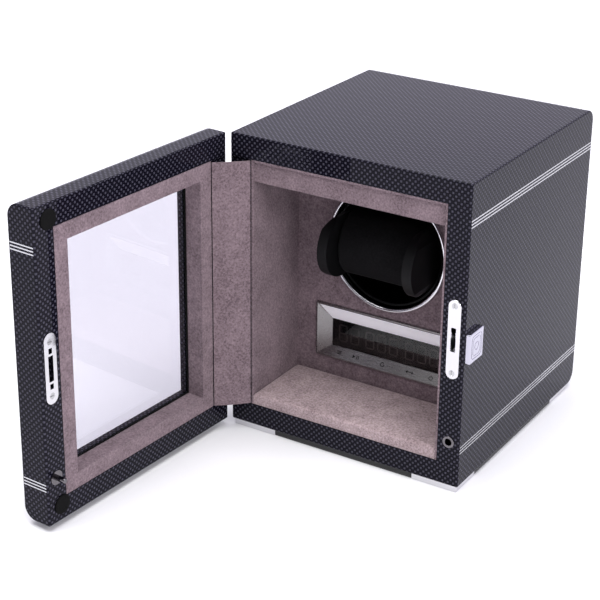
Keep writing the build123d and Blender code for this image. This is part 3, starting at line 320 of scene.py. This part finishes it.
def circuit():
    """Green solder mask with copper tracks showing through."""
    finish = Finish("solder_mask", (0.01, 0.09, 0.035), 0.35, 0.0, Coat_Weight=0.3, Coat_Roughness=0.1)
    bricks = finish.tree.nodes.new("ShaderNodeTexBrick")
    finish.tree.links.new(object_coordinates(finish.tree), bricks.inputs["Vector"])
    bricks.inputs["Scale"].default_value = 240.0
    bricks.inputs["Mortar Size"].default_value = 0.06
    mask, track = (0.01, 0.09, 0.035), (0.03, 0.2, 0.08)
    finish.set("Base Color", blend_color(finish.tree, bricks.outputs["Fac"], mask, track))
    finish.bump(bricks.outputs["Fac"], 0.3, 0.05 * MM)
    return finish.material


LACQUER = lacquer()
SUEDE = suede("taupe_suede", (0.108, 0.077, 0.087), (0.278, 0.208, 0.232))
# The floor pad is the lining's taupe suede painted about twice as light: painted light from above falling on
# the pad.
LIT_PAD_SUEDE = suede("pad_suede_painted_light", (0.21, 0.155, 0.162), (0.52, 0.41, 0.42))
BLACK_SUEDE = suede("black_suede", (0.003, 0.003, 0.0035), (0.010, 0.0095, 0.0105), 0.3, 0.0)
BLACK_HIDE = moulded("black_hide", (0.003, 0.003, 0.0035), 0.5, 0.15, shine=0.2)
CHROME = polished("chrome", (0.68, 0.67, 0.7), 0.04)
INLAY = polished("inlay_metal", (0.56, 0.56, 0.58), 0.18)
STEEL = brushed("plated_steel", (0.55, 0.55, 0.56), 0.3)
SATIN = brushed("satin_alloy", (0.25, 0.24, 0.24), 0.26)
# A pale non-metallic white standing in for the bright reflection on the polished upper slope of the bezel:
# painted reflection.
PAINTED_REFLECTION_WHITE = moulded("white_reflection_paint", (0.97, 0.96, 1.0), 0.3, 0.01, coat=0.5)
# A darker, violet copy of the chrome for the push button: painted shade and a painted violet reflection on
# the button face.
SHADED_BUTTON_CHROME = polished("button_chrome_painted_shade", (0.5, 0.49, 0.57), 0.06)
DARK_CHROME = polished("dark_chrome", (0.16, 0.15, 0.16), 0.08)
BRONZE = brushed("sintered_bronze", (0.42, 0.27, 0.12), 0.5)
GLOSS_BLACK = moulded("gloss_black", (0.002, 0.002, 0.0022), 0.2, 0.01, coat=0.02, shine=0.06)
MATTE_BLACK = moulded("matte_black", (0.012, 0.012, 0.013), 0.5, 0.25)
RUBBER = moulded("black_rubber", (0.004, 0.004, 0.004), 0.8, 0.5, shine=0.1)
PANEL_BLACK = wood("black_stain", (0.008, 0.008, 0.009), (0.022, 0.022, 0.023), 0.4)
PLAIN_WOOD = wood("sawn_wood", (0.42, 0.27, 0.14), (0.6, 0.42, 0.25), 0.7)
FELT = felt()
GLASS = clear_glass("window_glass", (0.69, 0.675, 0.735))
LENS = clear_glass("display_lens", (0.75, 0.7, 0.7))
DISPLAY = display_face()
CIRCUIT = circuit()
SEGMENT = moulded("segment_ink", (0.022, 0.014, 0.013), 0.4, 0.05)
LABEL_INK = moulded("label_ink", (0.004, 0.004, 0.004), 0.8, 0.05, shine=0.1)

FINISH_OF = {
    "lacquer": LACQUER, "inlay_metal": INLAY, "suede_board": SUEDE, "suede_pad": LIT_PAD_SUEDE,
    "cuff_fabric": BLACK_SUEDE, "cuff_shell": BLACK_HIDE, "chrome": CHROME, "satin_metal": SATIN,
    "steel": STEEL, "bronze": BRONZE, "black_gloss": GLOSS_BLACK, "black_plastic": MATTE_BLACK,
    "board_green": CIRCUIT, "rubber": RUBBER, "glass": GLASS, "black_wood": PANEL_BLACK,
    "plain_wood": PLAIN_WOOD, "felt": FELT,
}
slot_of = {part["node"]: part["material_slot"] for part in frame["record"]["subparts"]}
special = {"screen_lens": LENS, "lcd_panel": DISPLAY, "latch_hook": CHROME, "door_pin": DARK_CHROME,
           "switch_ferrule": DARK_CHROME, "push_button": SHADED_BUTTON_CHROME}
for node, thing in frame["nodes"].items():
    finish = special.get(node, FINISH_OF[slot_of[node]])
    if not thing.data.materials:
        thing.data.materials.append(finish)
    for slot in thing.material_slots:
        slot.material = finish


# ---------------------------------------------------------------- mesh building
def new_piece(name, mesh, material, body):
    """A finished mesh as an object at the origin, riding on its body."""
    mesh.materials.clear()
    mesh.materials.append(material)
    piece = bpy.data.objects.new(name, mesh)
    bpy.context.scene.collection.objects.link(piece)
    if body:
        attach(piece, body)
    return piece


def shade_smooth(mesh, angle=40):
    for polygon in mesh.polygons:
        polygon.use_smooth = True
    mesh.set_sharp_from_angle(angle=math.radians(angle))


def ring_shell(name, rows):
    """A closed mesh through equal rings of points, with both ends filled."""
    work = bmesh.new()
    rings = [[work.verts.new(point) for point in row] for row in rows]
    count = len(rings[0])
    for low, high in zip(rings, rings[1:]):
        for i in range(count):
            work.faces.new((low[i], low[(i + 1) % count], high[(i + 1) % count], high[i]))
    work.faces.new(rings[0])
    work.faces.new(rings[-1])
    bmesh.ops.recalc_face_normals(work, faces=work.faces)
    mesh = bpy.data.meshes.new(name)
    work.to_mesh(mesh)
    work.free()
    return mesh


def padded_block(name, low, high, edge, crown):
    """A cloth-covered slab: soft upper edges and a slightly crowned top."""
    work = bmesh.new()
    nx, ny = 40, 16
    size = high - low
    across = [0.0, 0.15 * edge, 0.4 * edge, edge]
    steps_x = across + [edge + (size.x - 2 * edge) * i / nx for i in range(1, nx)]
    steps_x += [size.x - s for s in reversed(across)]
    steps_y = across + [edge + (size.y - 2 * edge) * i / ny for i in range(1, ny)]
    steps_y += [size.y - s for s in reversed(across)]

    def drop(distance):
        if distance >= edge:
            return 0.0
        return edge - math.sqrt(max(0.0, edge * edge - (edge - distance) ** 2))

    def top(x, y):
        fall = min(edge, math.hypot(drop(min(x, size.x - x)), drop(min(y, size.y - y))))
        swell = crown * math.sin(math.pi * x / size.x) ** 0.5 * math.sin(math.pi * y / size.y) ** 0.5
        return high.z - fall - crown + swell

    grid = [[work.verts.new((low.x + x, low.y + y, top(x, y))) for y in steps_y] for x in steps_x]
    for column, following in zip(grid, grid[1:]):
        for j in range(len(steps_y) - 1):
            work.faces.new((column[j], following[j], following[j + 1], column[j + 1]))
    border = [e for e in work.edges if len(e.link_faces) == 1]
    skirt = bmesh.ops.extrude_edge_only(work, edges=border)["geom"]
    foot = [v for v in skirt if isinstance(v, bmesh.types.BMVert)]
    for vertex in foot:
        vertex.co.z = low.z
    work.faces.new(ring_order(foot))
    bmesh.ops.recalc_face_normals(work, faces=work.faces)
    mesh = bpy.data.meshes.new(name)
    work.to_mesh(mesh)
    work.free()
    shade_smooth(mesh, 50)
    return mesh


def ring_order(vertices):
    """The vertices of one open border in order round it."""
    wanted = set(vertices)
    start = vertices[0]
    ring = [start]
    while True:
        last = ring[-1]
        border = [e.other_vert(last) for e in last.link_edges if len(e.link_faces) == 1]
        following = [vertex for vertex in border if vertex in wanted and vertex not in ring]
        if not following:
            return ring
        ring.append(following[0])


# ---------------------------------------------------------------- floor pad
low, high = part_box("floor_pad")
floor_pad = new_piece("floor_cushion", padded_block("floor_cushion", low, high, 1.6 * MM, 0.5 * MM),
                      LIT_PAD_SUEDE, "cabinet")
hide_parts("floor_pad")

# ---------------------------------------------------------------- strip of suede over the hinge
low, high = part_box("hinge_cover")
cabinet_edge = Vector((high.x, high.y)) + Vector((0.15, -0.3)) * MM
door_edge = Vector((low.x, low.y)) + Vector((0.35, -0.15)) * MM
chord = door_edge - cabinet_edge
outward = Vector((1, -1)).normalized()
STRIP_BULGE = 0.7 * MM
STRIP_THICKNESS = 0.5 * MM
strip_line = []
for step in range(41):
    t = step / 40
    strip_line.append(cabinet_edge + chord * t + outward * STRIP_BULGE * math.sin(math.pi * t))
strip_height = high.z - low.z
ROWS = 80
work = bmesh.new()
columns = []
for point in strip_line:
    heights = [low.z + strip_height * row / ROWS for row in range(ROWS + 1)]
    columns.append([work.verts.new((point.x, point.y, height)) for height in heights])
for column, following in zip(columns, columns[1:]):
    for row in range(ROWS):
        work.faces.new((column[row], following[row], following[row + 1], column[row + 1]))
bmesh.ops.recalc_face_normals(work, faces=work.faces)
mesh = bpy.data.meshes.new("hinge_strip")
work.to_mesh(mesh)
work.free()
strip = new_piece("hinge_strip", mesh, SUEDE, None)
thicken = strip.modifiers.new("cloth", "SOLIDIFY")
thicken.thickness = STRIP_THICKNESS
thicken.offset = 0.0
strip.data = bpy.data.meshes.new_from_object(strip.evaluated_get(bpy.context.evaluated_depsgraph_get()))
strip.modifiers.clear()
strip.data.materials.clear()
strip.data.materials.append(SUEDE)
shade_smooth(strip.data)
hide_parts("hinge_cover")
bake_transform(strip)

# ---------------------------------------------------------------- cuff cushion
low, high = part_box("cuff_cushion")
centre = (low + high) / 2
half = (high - low) / 2
rows = []
SEGMENTS = 96
STATIONS = 56
for station in range(STATIONS + 1):
    t = station / STATIONS
    x = low.x + (high.x - low.x) * t
    end = min(t, 1 - t) * (high.x - low.x)
    soft = 2.2 * MM
    shrink = 0.0
    if end < soft:
        shrink = soft - math.sqrt(max(0.0, soft * soft - (soft - end) ** 2))
    row = []
    for i in range(SEGMENTS):
        angle = 2 * math.pi * i / SEGMENTS
        ripple = 0.12 * MM * math.sin(7 * angle + 3 * t) * math.sin(math.pi * t)
        inset = shrink + 0.25 * MM - ripple
        y = centre.y + (half.y - inset) * math.cos(angle)
        z = centre.z + (half.z - inset) * math.sin(angle)
        row.append((x, y, z))
    rows.append(row)
mesh = ring_shell("cuff_pillow", rows)
shade_smooth(mesh, 50)
pillow = new_piece("cuff_pillow", mesh, BLACK_SUEDE, "cuff")
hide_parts("cuff_cushion")


# ---------------------------------------------------------------- springs
def pressed_coil(name, node):
    """The coil as it is at rest, copied from the part as one loose piece."""
    modelled = frame["nodes"][node]
    mesh = modelled.data.copy()
    mesh.transform(modelled.matrix_world)
    coil = new_piece(name, mesh, STEEL, None)
    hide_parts(node)
    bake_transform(coil)


low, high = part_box("button_spring")
centre = (low + high) / 2
pressed_coil("button_coil", "button_spring")
low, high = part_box("plunger_spring")
centre = (low + high) / 2
pressed_coil("plunger_coil", "plunger_spring")


# ---------------------------------------------------------------- repeats made with geometry nodes
def scatter_tree(name):
    """A tree that sets one copy of the marker on each point of the mesh."""
    tree = bpy.data.node_groups.new(name, "GeometryNodeTree")
    tree.interface.new_socket("Points", in_out="INPUT", socket_type="NodeSocketGeometry")
    tree.interface.new_socket("Marker", in_out="INPUT", socket_type="NodeSocketObject")
    tree.interface.new_socket("Finish", in_out="INPUT", socket_type="NodeSocketMaterial")
    tree.interface.new_socket("Pieces", in_out="OUTPUT", socket_type="NodeSocketGeometry")
    entry = tree.nodes.new("NodeGroupInput")
    finish = tree.nodes.new("NodeGroupOutput")
    marker = tree.nodes.new("GeometryNodeObjectInfo")
    points = tree.nodes.new("GeometryNodeMeshToPoints")
    copies = tree.nodes.new("GeometryNodeInstanceOnPoints")
    real = tree.nodes.new("GeometryNodeRealizeInstances")
    paint = tree.nodes.new("GeometryNodeSetMaterial")
    link = tree.links.new
    link(entry.outputs["Marker"], marker.inputs["Object"])
    link(entry.outputs["Points"], points.inputs["Mesh"])
    link(points.outputs["Points"], copies.inputs["Points"])
    link(marker.outputs["Geometry"], copies.inputs["Instance"])
    link(copies.outputs["Instances"], real.inputs["Geometry"])
    link(real.outputs["Geometry"], paint.inputs["Geometry"])
    link(entry.outputs["Finish"], paint.inputs["Material"])
    link(paint.outputs["Geometry"], finish.inputs["Pieces"])
    return tree


SCATTER = scatter_tree("copies_on_points")


def copies(name, marker_mesh, points, material, body, slot):
    """One mesh holding a copy of the marker at each point."""
    marker = bpy.data.objects.new(name + "_marker", marker_mesh)
    holder_mesh = bpy.data.meshes.new(name)
    holder_mesh.from_pydata(points, [], [])
    holder = bpy.data.objects.new(name, holder_mesh)
    bpy.context.scene.collection.objects.link(holder)
    modifier = holder.modifiers.new("copies", "NODES")
    modifier.node_group = SCATTER
    sockets = {s.name: s.identifier for s in SCATTER.interface.items_tree if s.in_out == "INPUT"}
    modifier[sockets["Marker"]] = marker
    modifier[sockets["Finish"]] = material
    mesh = bpy.data.meshes.new_from_object(holder.evaluated_get(bpy.context.evaluated_depsgraph_get()))
    bpy.data.objects.remove(holder)
    bpy.data.objects.remove(marker)
    mesh.name = name
    return new_piece(name, mesh, material, body)


def plate(outlines, thickness, to_place):
    """Flat closed outlines raised by the thickness; to_place maps (u, v, height) to the cabinet."""
    work = bmesh.new()
    for outline in outlines:
        lower = [work.verts.new(to_place(u, v, 0.0)) for u, v in outline]
        upper = [work.verts.new(to_place(u, v, thickness)) for u, v in outline]
        work.faces.new(lower)
        work.faces.new(upper)
        for i in range(len(outline)):
            j = (i + 1) % len(outline)
            work.faces.new((lower[i], lower[j], upper[j], upper[i]))
    bmesh.ops.recalc_face_normals(work, faces=work.faces)
    mesh = bpy.data.meshes.new("plate")
    work.to_mesh(mesh)
    work.free()
    return mesh


# ---------------------------------------------------------------- unlit digits on the display
low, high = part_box("lcd_panel")
DIGIT_W, DIGIT_H, BAR = 5.6 * MM, 11.0 * MM, 1.0 * MM


def segment(u0, v0, u1, v1):
    """One bar of a digit, pointed at both ends, between two points."""
    along = Vector((u1 - u0, v1 - v0))
    along.normalize()
    aside = Vector((-along.y, along.x)) * BAR / 2
    a = Vector((u0, v0)) + along * 0.12 * MM
    b = Vector((u1, v1)) - along * 0.12 * MM
    point = along * BAR / 2
    return [tuple(a), tuple(a + point + aside), tuple(b - point + aside), tuple(b),
            tuple(b - point - aside), tuple(a + point - aside)]


def digit_bars():
    """The seven bars of one digit, centred across and standing on zero."""
    w, h, m = DIGIT_W / 2, DIGIT_H, DIGIT_H / 2
    return [segment(-w, 0, w, 0), segment(-w, m, w, m), segment(-w, h, w, h),
            segment(-w, 0, -w, m), segment(w, 0, w, m), segment(-w, m, -w, h), segment(w, m, w, h)]


screen_front = low.y
DIGIT_THICKNESS = 0.04 * MM
digit_mesh = plate(digit_bars(), DIGIT_THICKNESS, lambda u, v, t: (u, -t, v))
screen_mid = (low.x + high.x) / 2
digit_low = (low.z + high.z) / 2 - DIGIT_H / 2
DIGIT_CENTRES = (-32, -23.5, -12.5, -4, 4.5, 16, 24.5, 33)
digit_places = [(screen_mid + x * MM, screen_front + 0.01 * MM, digit_low) for x in DIGIT_CENTRES]
copies("display_digits", digit_mesh, digit_places, SEGMENT, "cabinet", "black_gloss")

# ---------------------------------------------------------------- symbols under the display
bezel_low, bezel_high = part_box("display_bezel")
lens_low, lens_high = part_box("screen_lens")
slope_front = Vector((0, bezel_low.y, bezel_low.z + 1.0 * MM))
slope_back = Vector((0, lens_low.y - 0.4 * MM, lens_low.z + 0.8 * MM))
slope_up = (slope_back - slope_front).normalized()
slope_out = Vector((0, -slope_up.z, slope_up.y))
slope_mid = (slope_front + slope_back) / 2


def on_slope(x):
    """A placing on the bezel's lower slope, centred at x."""
    def place(u, v, height):
        return slope_mid + Vector((x + u, 0, 0)) + slope_up * v + slope_out * (height - 0.01 * MM)
    return place


def arc(radius, start, end, width, count=20):
    """A flat curved bar as one outline."""
    outer, inner = [], []
    for i in range(count + 1):
        angle = math.radians(start + (end - start) * i / count)
        outer.append(((radius + width / 2) * math.cos(angle), (radius + width / 2) * math.sin(angle)))
        inner.append(((radius - width / 2) * math.cos(angle), (radius - width / 2) * math.sin(angle)))
    return outer + inner[::-1]


def bar(x0, y0, x1, y1):
    """A flat rectangle between two corners."""
    return [(x0, y0), (x1, y0), (x1, y1), (x0, y1)]


SYMBOL_SCALE = 1.4


def scaled(outlines):
    """Outlines in millimetres at the size they are printed."""
    return [[(SYMBOL_SCALE * u * MM, SYMBOL_SCALE * v * MM) for u, v in outline] for outline in outlines]


symbols = {
    "choose": (-33.0, [bar(-1.2, 0.5, 1.2, 0.8), bar(-1.2, -0.1, 1.2, 0.2), bar(-1.2, -0.7, 1.2, -0.4)]),
    "start_stop": (-21.0, [[(-1.5, -0.8), (0.0, 0.0), (-1.5, 0.8)],
                           bar(0.5, -0.8, 0.9, 0.8), bar(1.3, -0.8, 1.7, 0.8)]),
    "turns": (-1.5, [arc(0.9, 30, 330, 0.3), [(0.35, -0.1), (1.3, -0.1), (0.85, -0.8)]]
              + [bar(x, -0.15, x + 0.5, 0.15) for x in (2.4, 3.6, 4.8)]),
    "direction": (18.0, [[(-2.0, 0.0), (-1.0, -0.7), (-1.0, 0.7)], bar(-1.0, -0.15, 1.0, 0.15),
                         [(1.0, -0.7), (2.0, 0.0), (1.0, 0.7)]]),
    "power": (33.0, [arc(0.85, 120, 420, 0.3), bar(-0.15, 0.1, 0.15, 1.2)]),
}
for name, (x, outlines) in symbols.items():
    mesh = plate(scaled(outlines), 0.03 * MM, on_slope(x * MM))
    new_piece("symbol_" + name, mesh, LABEL_INK, "cabinet")

# ---------------------------------------------------------------- pale plate on the display's upper slope: a painted reflection
plate_front = Vector((0, bezel_low.y + 0.25 * MM, bezel_high.z - 1.6 * MM))
plate_back = Vector((0, lens_low.y - 0.55 * MM, lens_high.z - 0.3 * MM))
plate_up = (plate_front - plate_back).normalized()
plate_out = Vector((0, -plate_up.z, plate_up.y))
plate_length = (plate_front - plate_back).length
front_half = (bezel_high.x - bezel_low.x) / 2 - 2.6 * MM
back_half = (lens_high.x - lens_low.x) / 2 - 0.8 * MM
outline = [(-back_half, 0.0), (back_half, 0.0), (front_half, plate_length), (-front_half, plate_length)]
mesh = plate([outline], 0.08 * MM,
             lambda u, v, t: plate_back + Vector((u, 0, 0)) + plate_up * v + plate_out * t)
# The plate paints the upper slope's bright reflection in flat white.
new_piece("slope_plate", mesh, PAINTED_REFLECTION_WHITE, "cabinet")

# ---------------------------------------------------------------- floor, light and camera
floor_mesh = bpy.data.meshes.new("floor")
FLOOR = 40.0
floor_corners = [(-FLOOR, -FLOOR, 0), (FLOOR, -FLOOR, 0), (FLOOR, FLOOR, 0), (-FLOOR, FLOOR, 0)]
floor_mesh.from_pydata(floor_corners, [], [(0, 1, 2, 3)])
floor = bpy.data.objects.new("floor", floor_mesh)
bpy.context.scene.collection.objects.link(floor)
paper = Finish("pale_paper", (0.93, 0.93, 0.94), 0.9, Specular_IOR_Level=0.1)
fibre = noise(paper.tree, 400.0, 3.0)
paper.set("Base Color", blend_color(paper.tree, fibre, (0.92, 0.92, 0.93), (0.94, 0.94, 0.95)))
floor_mesh.materials.append(paper.material)


def softbox(name, place, target, size, power):
    """A rectangular lamp at a place, aimed at the target."""
    light = bpy.data.lights.new(name, "AREA")
    light.shape = "RECTANGLE"
    light.size, light.size_y = size
    light.energy = power
    lamp = bpy.data.objects.new(name, light)
    bpy.context.scene.collection.objects.link(lamp)
    lamp.location = place
    lamp.rotation_euler = (Vector(target) - Vector(place)).to_track_quat("-Z", "Y").to_euler()


softbox("overhead", (0.0, -0.45, 1.9), (0, -0.1, 0), (1.8, 1.5), 40)
softbox("key_right", (1.9, -0.9, 1.2), (0, 0, 0.1), (1.0, 1.0), 18)
softbox("fill_left", (-1.3, -1.8, 1.3), (0, 0, 0.1), (1.2, 1.0), 3)

world = bpy.data.worlds.new("studio")
world.use_nodes = True
tree = world.node_tree
ramp = tree.nodes.new("ShaderNodeValToRGB")
gradient = tree.nodes.new("ShaderNodeSeparateXYZ")
tree.links.new(tree.nodes.new("ShaderNodeTexCoord").outputs["Generated"], gradient.inputs[0])
tree.links.new(calc(tree, "MULTIPLY_ADD", gradient.outputs["Y"], 0.5, 0.5), ramp.inputs[0])
ramp.color_ramp.elements[0].position = 0.05
ramp.color_ramp.elements[0].color = (0.16, 0.16, 0.17, 1)
ramp.color_ramp.elements[1].position = 0.75
ramp.color_ramp.elements[1].color = (0.94, 0.91, 1.05, 1)
tree.links.new(ramp.outputs[0], tree.nodes["Background"].inputs["Color"])
tree.nodes["Background"].inputs["Strength"].default_value = 1.12
bpy.context.scene.world = world

CAMERA_PLACE = (0.4441, -0.8369, 0.4972)
HEADING, PITCH, ROLL = math.radians(-29.97), math.radians(-22.03), math.radians(1.47)
forward = Vector((math.sin(HEADING) * math.cos(PITCH), math.cos(HEADING) * math.cos(PITCH), math.sin(PITCH)))
level_right = Vector((math.cos(HEADING), -math.sin(HEADING), 0))
level_up = level_right.cross(forward)
right = level_right * math.cos(ROLL) + level_up * math.sin(ROLL)
up = level_up * math.cos(ROLL) - level_right * math.sin(ROLL)
view = bpy.data.cameras.new("camera")
view.lens = 97.92
view.sensor_width = 36.0
view.shift_x = -0.1
view.shift_y = -0.1
view.clip_end = 100.0
camera = bpy.data.objects.new("camera", view)
bpy.context.scene.collection.objects.link(camera)
turn = Matrix((right, up, -forward)).transposed().to_4x4()
camera.matrix_world = Matrix.Translation(CAMERA_PLACE) @ turn
bpy.context.scene.camera = camera
bpy.context.scene.view_settings.view_transform = "Standard"
